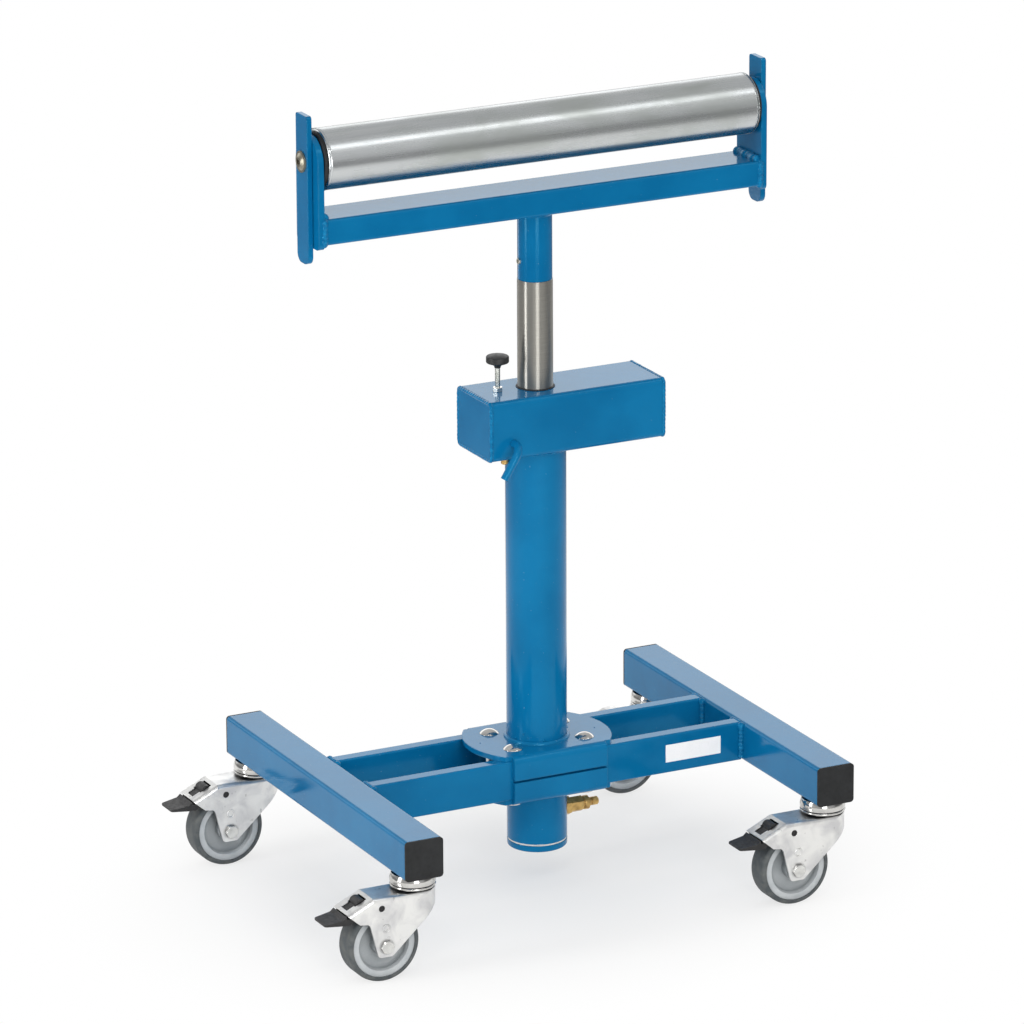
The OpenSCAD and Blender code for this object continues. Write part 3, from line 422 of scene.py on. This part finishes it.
# Finishes that share one build. Each has a shader's own values, two tones and the noise of
# their patches, a range of roughness and the noise of its grain, and mostly a relief: its
# noise, depth, strength and the radius of the rounded edges.
PLAIN_FINISHES = {
    "weld_paint": dict(
        shader={"Roughness": 0.18, **PAINT},
        tones=((4, 97, 147), (14, 117, 168)), patches={"scale": 220},
        rough=(0.05, 0.13), grain={"scale": 500, "shift": 3.0},
        relief=({"scale": 700, "shift": 1.0}, 0.12 * MM, 0.5, None),
    ),
    "black_plastic": dict(
        shader={"Roughness": 0.55, "IOR": 1.45},
        tones=((16, 18, 20), (27, 29, 31)), patches={"scale": 60, "detail": 4},
        rough=(0.45, 0.65), grain={"scale": 240, "shift": 1.0},
        relief=({"scale": 1700, "detail": 2, "shift": 2.0}, 0.05 * MM, 0.5, 0.8 * MM),
    ),
    "silver_zinc": dict(
        shader={"Metallic": 1.0, "Roughness": 0.24},
        tones=((214, 214, 211), (234, 234, 231)), patches={"scale": 160, "detail": 4},
        rough=(0.12, 0.26), grain={"scale": 500, "shift": 1.0},
        relief=({"scale": 600, "shift": 2.0}, 0.03 * MM, 0.5, 0.6 * MM),
    ),
    "bright_zinc": dict(
        shader={"Metallic": 1.0, "Roughness": 0.22},
        tones=((222, 216, 196), (206, 206, 200)), patches={"scale": 160, "detail": 4},
        rough=(0.14, 0.32), grain={"scale": 500, "shift": 1.0},
        relief=({"scale": 700, "shift": 2.0}, 0.02 * MM, 0.4, 0.5 * MM),
    ),
    "plain_steel": dict(
        shader={"Metallic": 1.0, "Roughness": 0.4},
        tones=((150, 148, 144), (184, 182, 178)), patches={"scale": 120, "detail": 4},
        rough=(0.3, 0.5), grain={"scale": 400, "shift": 1.0},
    ),
    "aluminium": dict(
        shader={"Metallic": 1.0, "Roughness": 0.3},
        tones=((224, 222, 218), (196, 195, 192)), patches={"scale": 200, "detail": 4},
        rough=(0.2, 0.38), grain={"scale": 700, "stretch": (0.1, 0.1, 1), "shift": 1.0},
    ),
    "seal_rubber": dict(
        shader={"Roughness": 0.5, "IOR": 1.5},
        tones=((24, 26, 30), (36, 40, 46)), patches={"scale": 200},
        rough=(0.4, 0.6), grain={"scale": 500, "shift": 1.0},
        relief=({"scale": 1500, "detail": 2, "shift": 2.0}, 0.03 * MM, 0.4, 0.4 * MM),
    ),
    "plate_white": dict(
        shader={"Roughness": 0.3, "IOR": 1.48},
        tones=((249, 250, 251), (254, 254, 255)), patches={"scale": 90, "detail": 4},
        rough=(0.25, 0.36), grain={"scale": 600, "shift": 1.0},
        relief=({"scale": 900, "detail": 2, "shift": 2.0}, 0.01 * MM, 0.4, 0.2 * MM),
    ),
}


def plain_finish(name, shader, tones, patches, rough, grain, relief=None):
    s = Surface(name, **shader)
    s.colour(s.tones(s.spread(s.noise(**patches), *PATCHES), *tones))
    s.rough(s.spread(s.noise(**grain), *DRIFT, *rough))
    if relief:
        height, depth, strength, edge = relief
        s.bump(s.noise(**height), depth, strength, s.rounded(edge) if edge else None)
    return s.mat


MATS = {name: plain_finish(name, **look) for name, look in PLAIN_FINISHES.items()}
MATS.update({
    "blue_paint": blue_paint(),
    "pedal_plastic": pedal_plastic(),
    "knob_and_stud": knob_and_stud(),
    "polished_zinc": polished_zinc(),
    "worn_zinc": worn_zinc(),
    "pressed_zinc": pressed_zinc(),
    "galvanised_roller": galvanised_roller(),
    "ground_rod": ground_rod(),
    "brass": brass(),
    "rim_plastic": rim_plastic(),
    "tyre_rubber": tyre_rubber(),
})

# The finish of each node. Nodes that are not listed are painted blue.
FINISH_BY_NODE = {
    "foot_caps": "black_plastic",
    "clamp_bolts": "polished_zinc",
    "clamp_nuts": "silver_zinc",
    "column_ring": "silver_zinc",
    "air_coupling": "brass",
    "wiper_ring": "seal_rubber",
    "guide_bush": "brass",
    "valve_outlet": "brass",
    "valve_nut": "silver_zinc",
    "valve_knob": "knob_and_stud",
    "piston": "aluminium",
    "piston_rod": "ground_rod",
    "set_screw": "bright_zinc",
    "stop_washers": "bright_zinc",
    "roller_axle": "plain_steel",
    "axle_bolts": "worn_zinc",
    "roller_tube": "galvanised_roller",
    "roller_caps": "black_plastic",
}
FINISH_IN_CASTER = {
    "head": "polished_zinc",
    "fork": "pressed_zinc",
    "axle": "silver_zinc",
    "rim": "rim_plastic",
    "tyre": "tyre_rubber",
    "pedal": "pedal_plastic",
}


def dress_nodes():
    for name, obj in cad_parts.items():
        stem, _, tag = name.rpartition("_")
        if name in FINISH_BY_NODE:
            finish = FINISH_BY_NODE[name]
        elif tag in CASTERS and stem in FINISH_IN_CASTER:
            finish = FINISH_IN_CASTER[stem]
        else:
            finish = "blue_paint"
        for slot in obj.material_slots:
            slot.material = MATS[finish]


def place(name, bm, material, body, smooth=True):
    """Make the piece from the mesh, with its material, and say its body and material slot."""
    bmesh.ops.recalc_face_normals(bm, faces=bm.faces)
    mesh = bpy.data.meshes.new(name)
    bm.to_mesh(mesh)
    bm.free()
    if smooth:
        for polygon in mesh.polygons:
            polygon.use_smooth = True
    mesh.materials.append(MATS[material])
    obj = bpy.data.objects.new(name, mesh)
    bpy.context.scene.collection.objects.link(obj)
    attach(obj, body)


def resample(points, step, closed):
    """The same line with a point about every step."""
    pts = [Vector(p) for p in points]
    if closed:
        pts.append(pts[0])
    out = []
    for a, b in zip(pts, pts[1:]):
        n = max(1, round((b - a).length / step))
        out += [a.lerp(b, i / n) for i in range(n)]
    if not closed:
        out.append(pts[-1])
    return out


def join(bm, a, b, turn=0):
    """Faces between two rings of corners, the second one turned on by some corners."""
    sides = len(a)
    for k in range(sides):
        after = (k + 1) % sides
        bm.faces.new((a[k], a[after], b[(after + turn) % sides], b[(k + turn) % sides]))


def sweep(bm, points, radius, closed=False, sides=8, pitch=2.2 * MM, wave=0.14, seed=1):
    """A bead along the points. Its thickness swells once in a pitch, like laid weld scales,
    wanders a little, and runs out at open ends."""
    point_step = 0.55 * MM
    mean_swell = 0.6
    wander, wander_kept = 0.03, 0.85
    end_size, end_growth = 0.45, 0.25
    rng = random.Random(seed)
    path = resample(points, point_step, closed)
    count = len(path)
    rings = []
    run = 0.0
    drift = 0.0
    normal = None
    for i, p in enumerate(path):
        ahead = path[(i + 1) % count] if closed or i < count - 1 else p
        behind = path[i - 1] if closed or i > 0 else p
        tangent = (ahead - behind).normalized()
        if normal is None:
            normal = tangent.orthogonal().normalized()
        normal = (normal - tangent * normal.dot(tangent)).normalized()
        side = tangent.cross(normal)
        drift = wander_kept * drift + rng.uniform(-wander, wander)
        swell = 1 + wave * (abs(math.sin(math.pi * run / pitch)) - mean_swell) + drift
        if not closed:
            swell *= min(1.0, end_size + end_growth * min(i, count - 1 - i))
        rings.append([
            bm.verts.new(p + (normal * math.cos(t) + side * math.sin(t)) * radius * swell)
            for t in (2 * math.pi * k / sides for k in range(sides))
        ])
        run += (ahead - p).length
    for a, b in zip(rings, rings[1:]):
        join(bm, a, b)
    if not closed:
        bm.faces.new(rings[0])
        bm.faces.new(rings[-1])
        return
    # the last ring meets the first at the turn that lines up best
    last, first = rings[-1], rings[0]

    def mismatch(turn):
        return sum((last[k].co - first[(k + turn) % sides].co).length for k in range(sides))

    join(bm, last, first, min(range(sides), key=mismatch))


def circle_path(centre, radius, count=90):
    """Points around a level circle."""
    cx, cy, cz = centre
    turns = [2 * math.pi * i / count for i in range(count)]
    return [(cx + radius * math.cos(a), cy + radius * math.sin(a), cz) for a in turns]


def frame_path(x, half_y, low, high, corner, steps=5):
    """Points around a rectangle with round corners, across y and z at one x."""
    quarters = (
        (1, high - corner, 0), (-1, high - corner, 90),
        (-1, low + corner, 180), (1, low + corner, 270),
    )
    out = []
    for sy, cz, start in quarters:
        for i in range(steps + 1):
            a = math.radians(start + 90 * i / steps)
            y = sy * (half_y - corner) + corner * math.cos(a)
            out.append((x, y, cz + corner * math.sin(a)))
    return out


def ring(bm, centre, radius, thick, axis_turn, count=40):
    """A flattened ring about z, then turned and moved to its centre."""
    sides = 8
    rows = []
    for i in range(count):
        a = 2 * math.pi * i / count
        row = []
        for k in range(sides):
            t = 2 * math.pi * k / sides
            out = radius + thick * math.cos(t)
            p = Vector((out * math.cos(a), out * math.sin(a), thick * 0.5 * math.sin(t)))
            row.append(bm.verts.new(Vector(centre) + axis_turn @ p))
        rows.append(row)
    for i in range(count):
        join(bm, rows[i], rows[(i + 1) % count])


def blob(bm, centre, radius, subdivisions=2, uneven=0.0, rng=None):
    """A small ball of weld metal. With a random source, its corners lie in and out a little."""
    made = bmesh.ops.create_icosphere(bm, subdivisions=subdivisions, radius=radius)["verts"]
    if rng:
        for v in made:
            v.co *= 1 + rng.uniform(-uneven, uneven)
    bmesh.ops.translate(bm, vec=centre, verts=made)


def box_welds():
    """A bead around the head box at each end plate."""
    inset, corner, bead = 1.4 * MM, 3.6 * MM, 2.1 * MM
    for tag, x, seed in (("left", BOX_LEFT + inset, 4), ("right", BOX_RIGHT - inset, 5)):
        path = frame_path(x, BOX_HALF_Y - inset, BOX_LOW + inset, BOX_HIGH - inset, corner)
        bm = bmesh.new()
        sweep(bm, path, bead, True, pitch=4.2 * MM, wave=0.12, seed=seed)
        place(f"box_weld_{tag}", bm, "weld_paint", "base")


def column_welds():
    """Beads around the column, on the clamp plate and under the head box."""
    # height, radius of the circle, radius of the bead, seed
    beads = (
        (PLATE_TOP + 0.9 * MM, COLUMN_R + 0.3 * MM, 1.1 * MM, 3),
        (BOX_LOW - 0.6 * MM, COLUMN_R + 0.6 * MM, 1.7 * MM, 4),
    )
    bm = bmesh.new()
    for z, radius, bead, seed in beads:
        sweep(bm, circle_path((COLUMN_X, 0, z), radius), bead, True, pitch=3.4 * MM, seed=seed)
    place("column_welds", bm, "weld_paint", "base")


def beam_welds():
    """Where a beam meets a foot: a bead down each side with a lump on top, and one across."""
    stand_off = 1.1 * MM
    side_bead, lump, top_bead = 3.0 * MM, 3.9 * MM, 1.7 * MM
    side_top, side_low = FOOT_TOP - 4 * MM, FOOT_TOP - 37 * MM
    lump_z, top_z = FOOT_TOP - 3.4 * MM, FOOT_TOP - 0.9 * MM
    top_half = 7 * MM
    bm = bmesh.new()
    rng = random.Random(5)
    for side in (-1, 1):
        x = COLUMN_X + side * (FOOT_X - FOOT_HALF - stand_off)
        top_x = x + side * 0.8 * MM
        for front in (-1, 1):
            beam_y = front * BEAM_Y
            for face in (-1, 1):
                y = beam_y + face * (BEAM_HALF_Y + stand_off)
                sweep(bm, [(x, y, side_top), (x, y, side_low)], side_bead,
                      pitch=4.2 * MM, wave=0.24, seed=100 + side * 7 + front * 3 + face)
                blob(bm, (x, y, lump_z), lump, subdivisions=3, uneven=0.02, rng=rng)
            sweep(bm, [(top_x, beam_y - top_half, top_z), (top_x, beam_y + top_half, top_z)],
                  top_bead, pitch=2.8 * MM, wave=0.25, seed=200 + side * 5 + front)
    place("beam_welds", bm, "weld_paint", "base")


def mast_welds():
    """A bead around each end of the crossbeam with a fillet on top, and one around the neck."""
    inset, corner = 1.0 * MM, 2 * MM
    end_bead, fillet_bead, neck_bead = 3.2 * MM, 4.8 * MM, 1.8 * MM
    fillet_half = 22
    bm = bmesh.new()
    for side in (-1, 1):
        x = COLUMN_X + side * (UPRIGHT_IN - 0.5 * MM)
        around = frame_path(x, CROSS_HALF_Y - inset, CROSS_LOW + inset, CROSS_TOP - inset, corner)
        sweep(bm, around, end_bead, True, pitch=4.4 * MM, wave=0.26, seed=10 + side)
        # the fillet wanders towards the beam and back
        fillet = [
            (x - side * (1.5 + 0.8 * math.sin(0.35 * t)) * MM, t * MM, CROSS_TOP + 0.4 * MM)
            for t in range(-fillet_half, fillet_half + 1, 2)
        ]
        sweep(bm, fillet, fillet_bead, sides=12, pitch=5.5 * MM, wave=0.14, seed=20 + side)
    neck = circle_path((COLUMN_X, 0, CROSS_LOW - 0.8 * MM), NECK_R + 0.8 * MM, 60)
    sweep(bm, neck, neck_bead, True, pitch=3.2 * MM, seed=6)
    place("mast_welds", bm, "weld_paint", "mast")


def spatter():
    """Small paint-covered weld spatters on the column's foot, the clamp plate and a beam."""
    # angle around the column in degrees, then height and radius in mm
    on_column = (
        (-142, 157.7, 1.1), (-134, 154.3, 0.9), (-104, 151.6, 1.2), (-160, 152.0, 0.9),
        (-60, 153.0, 0.8), (-25, 155.0, 0.9), (40, 154.0, 1.0), (120, 152.5, 0.9),
    )
    # x from the column's middle and y, both in mm, then the height, and the radius in mm
    on_flats = (
        (-68.5, -42, FOOT_TOP, 1.2), (-61, 3, PLATE_TOP, 0.6),
        (60, -8, PLATE_TOP, 0.6), (-36, -47, PLATE_TOP, 0.7),
    )
    bm = bmesh.new()
    rng = random.Random(8)
    for angle, z, r in on_column:
        a = math.radians(angle)
        centre = (COLUMN_X + COLUMN_R * math.cos(a), COLUMN_R * math.sin(a), z * MM)
        blob(bm, centre, r * MM, uneven=0.08, rng=rng)
    for x, y, z, r in on_flats:
        blob(bm, (COLUMN_X + x * MM, y * MM, z), r * MM)
    place("weld_spatter", bm, "weld_paint", "base")


def blank_plate():
    """Plain white plate with rounded edges on the right part of the front beam."""
    left, right, low, high = 154.4 * MM, 216.1 * MM, 113.8 * MM, 132.0 * MM
    thick, sunk, edge = 0.5 * MM, 0.1 * MM, 0.12 * MM
    centre = ((left + right) / 2, -(BEAM_Y + BEAM_HALF_Y) - sunk, (low + high) / 2)
    bm = bmesh.new()
    made = bmesh.ops.create_cube(bm, size=1)["verts"]
    bmesh.ops.scale(bm, vec=(right - left, thick, high - low), verts=made)
    bmesh.ops.bevel(bm, geom=bm.edges[:], offset=edge, segments=2, profile=0.5, affect="EDGES")
    bmesh.ops.translate(bm, vec=centre, verts=bm.verts[:])
    place("blank_plate", bm, "plate_white", "base", smooth=False)


def roller_edges():
    """Two fine rolled rings near each end of the roller tube."""
    insets = (0.7 * MM, 3.0 * MM)
    sunk, thick = 0.1 * MM, 0.45 * MM
    about_x = Matrix.Rotation(math.radians(90), 3, "Y")
    bm = bmesh.new()
    for side in (-1, 1):
        for inset in insets:
            centre = (COLUMN_X + side * (ROLLER_HALF - inset), 0, ROLLER_Z)
            ring(bm, centre, ROLLER_R - sunk, thick, about_x, count=96)
    place("roller_edges", bm, "galvanised_roller", "roller")


def cheek_stamp(tag, x, y):
    """A small pressed circle on each cheek of the fork."""
    back, down = 36.6 * MM, 46.4 * MM
    radius, thick = 3.7 * MM, 0.75 * MM
    about_y = Matrix.Rotation(math.radians(90), 3, "X")
    bm = bmesh.new()
    for side in (-1, 1):
        centre = Vector((x, y, CASTER_TOP)) + Vector((-back, side * FORK_HALF, -down))
        ring(bm, centre, radius, thick, about_y)
    place(f"cheek_stamp_{tag}", bm, "pressed_zinc", f"swivel_{tag}")


def add_pieces():
    box_welds()
    column_welds()
    beam_welds()
    mast_welds()
    roller_edges()
    spatter()
    blank_plate()
    for tag, (x, y) in CASTERS.items():
        cheek_stamp(tag, x, y)


def floor_material():
    """Plain pale floor. For the camera and for gloss behind the object it fades to white
    away from the base, and keeps the shadow. Far away, gloss sees it as a painted glow: a dim
    room, brighter on the left."""
    mat = bpy.data.materials.new("floor")
    mat.use_nodes = True
    n = Nodes(mat.node_tree)
    matt = n.tree.nodes["Principled BSDF"]
    matt.inputs["Base Color"].default_value = (0.93, 0.922, 0.908, 1)
    matt.inputs["Roughness"].default_value = 0.9
    matt.inputs["Specular IOR Level"].default_value = 0.0
    white = n.add("ShaderNodeEmission").outputs[0]
    dim = n.add("ShaderNodeEmission")
    path = n.add("ShaderNodeLightPath").outputs
    position = n.add("ShaderNodeNewGeometry").outputs["Position"]
    distance = n.length(position)
    depth = n.along(position, AWAY)
    sideways = n.along(position, RIGHTWARD)

    # the share of white, which starts on an oval around the middle
    oval = n.add("ShaderNodeVectorMath", operation="MULTIPLY")
    oval.inputs[1].default_value = (1, 1.3, 1)
    n.link(position, oval.inputs[0])
    for_camera = n.ease(n.length(oval.outputs[0]), 0.15, 0.48, 0.45, 1.0)
    for_gloss = n.ease(distance, 0.2, 0.75, 0.77, 1.0)
    behind = n.ease(depth, -0.3, 0.4)
    to_camera = n.times(path["Is Camera Ray"], for_camera)
    to_gloss = n.times(path["Is Glossy Ray"], behind, for_gloss)
    near = n.mix_shaders(n.math("MAXIMUM", to_camera, to_gloss), matt.outputs[0], white)

    # the far end, which only gloss sees: a painted dim glow, with a painted pool of light on the
    # left that the faces turned to the left reflect
    from_right, from_left = n.ease(sideways, -1.3, -1.45), n.ease(sideways, -1.9, -1.65)
    lit = n.times(n.ease(depth, 1.2, 1.45), from_right, from_left)
    n.link(n.ease(lit, 0.0, 1.0, 0.3, 1.7), dim.inputs["Strength"])
    lean = n.math("ADD", n.times(depth, 0.25), distance)
    far = n.times(path["Is Glossy Ray"], n.ease(lean, 0.9, 1.9))
    whole = n.mix_shaders(far, near, dim.outputs[0])
    n.link(whole, n.tree.nodes["Material Output"].inputs["Surface"])
    return mat


def add_floor():
    bm = bmesh.new()
    bmesh.ops.create_grid(bm, x_segments=2, y_segments=2, size=FLOOR_REACH)
    mesh = bpy.data.meshes.new("floor")
    bm.to_mesh(mesh)
    bm.free()
    mesh.materials.append(floor_material())
    obj = bpy.data.objects.new("floor", mesh)
    bpy.context.scene.collection.objects.link(obj)


def add_lamp(name, place_at, target, size, power, glossy):
    light = bpy.data.lights.new(name, "AREA")
    light.shape = "RECTANGLE"
    light.size, light.size_y = size
    light.energy = power
    obj = bpy.data.objects.new(name, light)
    bpy.context.scene.collection.objects.link(obj)
    way = Vector(target) - Vector(place_at)
    turn = way.to_track_quat("-Z", "Y").to_matrix().to_4x4()
    obj.matrix_world = Matrix.Translation(place_at) @ turn
    obj.visible_glossy = glossy


def ramp(n, value, stops):
    """Grey levels over a value from 0 to 1."""
    made = n.add("ShaderNodeValToRGB")
    elements = made.color_ramp.elements
    while len(elements) < len(stops):
        elements.new(0.5)
    for element, (at, level) in zip(elements, stops):
        element.position = at
        element.color = (level, level, level, 1)
    n.link(value, made.inputs[0])
    return made.outputs[0]


def add_room():
    """Bright backdrop behind the object, dim room behind the camera, mid grey overhead and
    dark flags at both sides. The camera itself sees plain white."""
    room = bpy.data.worlds.new("studio")
    bpy.context.scene.world = room
    room.use_nodes = True
    n = Nodes(room.node_tree)
    n.tree.nodes.clear()
    way = n.add("ShaderNodeTexCoord").outputs["Generated"]
    split = n.add("ShaderNodeSeparateXYZ")
    n.link(way, split.inputs[0])
    height = split.outputs["Z"]
    back = ramp(n, height, ROOM_BEHIND_OBJECT)
    front = ramp(n, height, ROOM_BEHIND_CAMERA)
    backness = n.ease(n.along(way, AWAY), -0.5, 0.45)
    off_side = n.math("ABSOLUTE", n.along(way, RIGHTWARD))
    walls = n.add("ShaderNodeBackground")
    n.link(n.blend(backness, front, back), walls.inputs["Color"])
    n.link(n.ease(off_side, 0.78, 0.95, 1.0, 0.3), walls.inputs["Strength"])
    white = n.add("ShaderNodeBackground")
    white.inputs["Color"].default_value = (1, 1, 1, 1)
    seen = n.add("ShaderNodeLightPath").outputs["Is Camera Ray"]
    out = n.add("ShaderNodeOutputWorld")
    n.link(n.mix_shaders(seen, walls.outputs[0], white.outputs[0]), out.inputs["Surface"])


def add_studio():
    add_floor()
    for lamp in LAMPS:
        add_lamp(*lamp)
    add_room()
    bpy.context.scene.view_settings.view_transform = "Standard"


add_camera()
dress_nodes()
add_pieces()
add_studio()
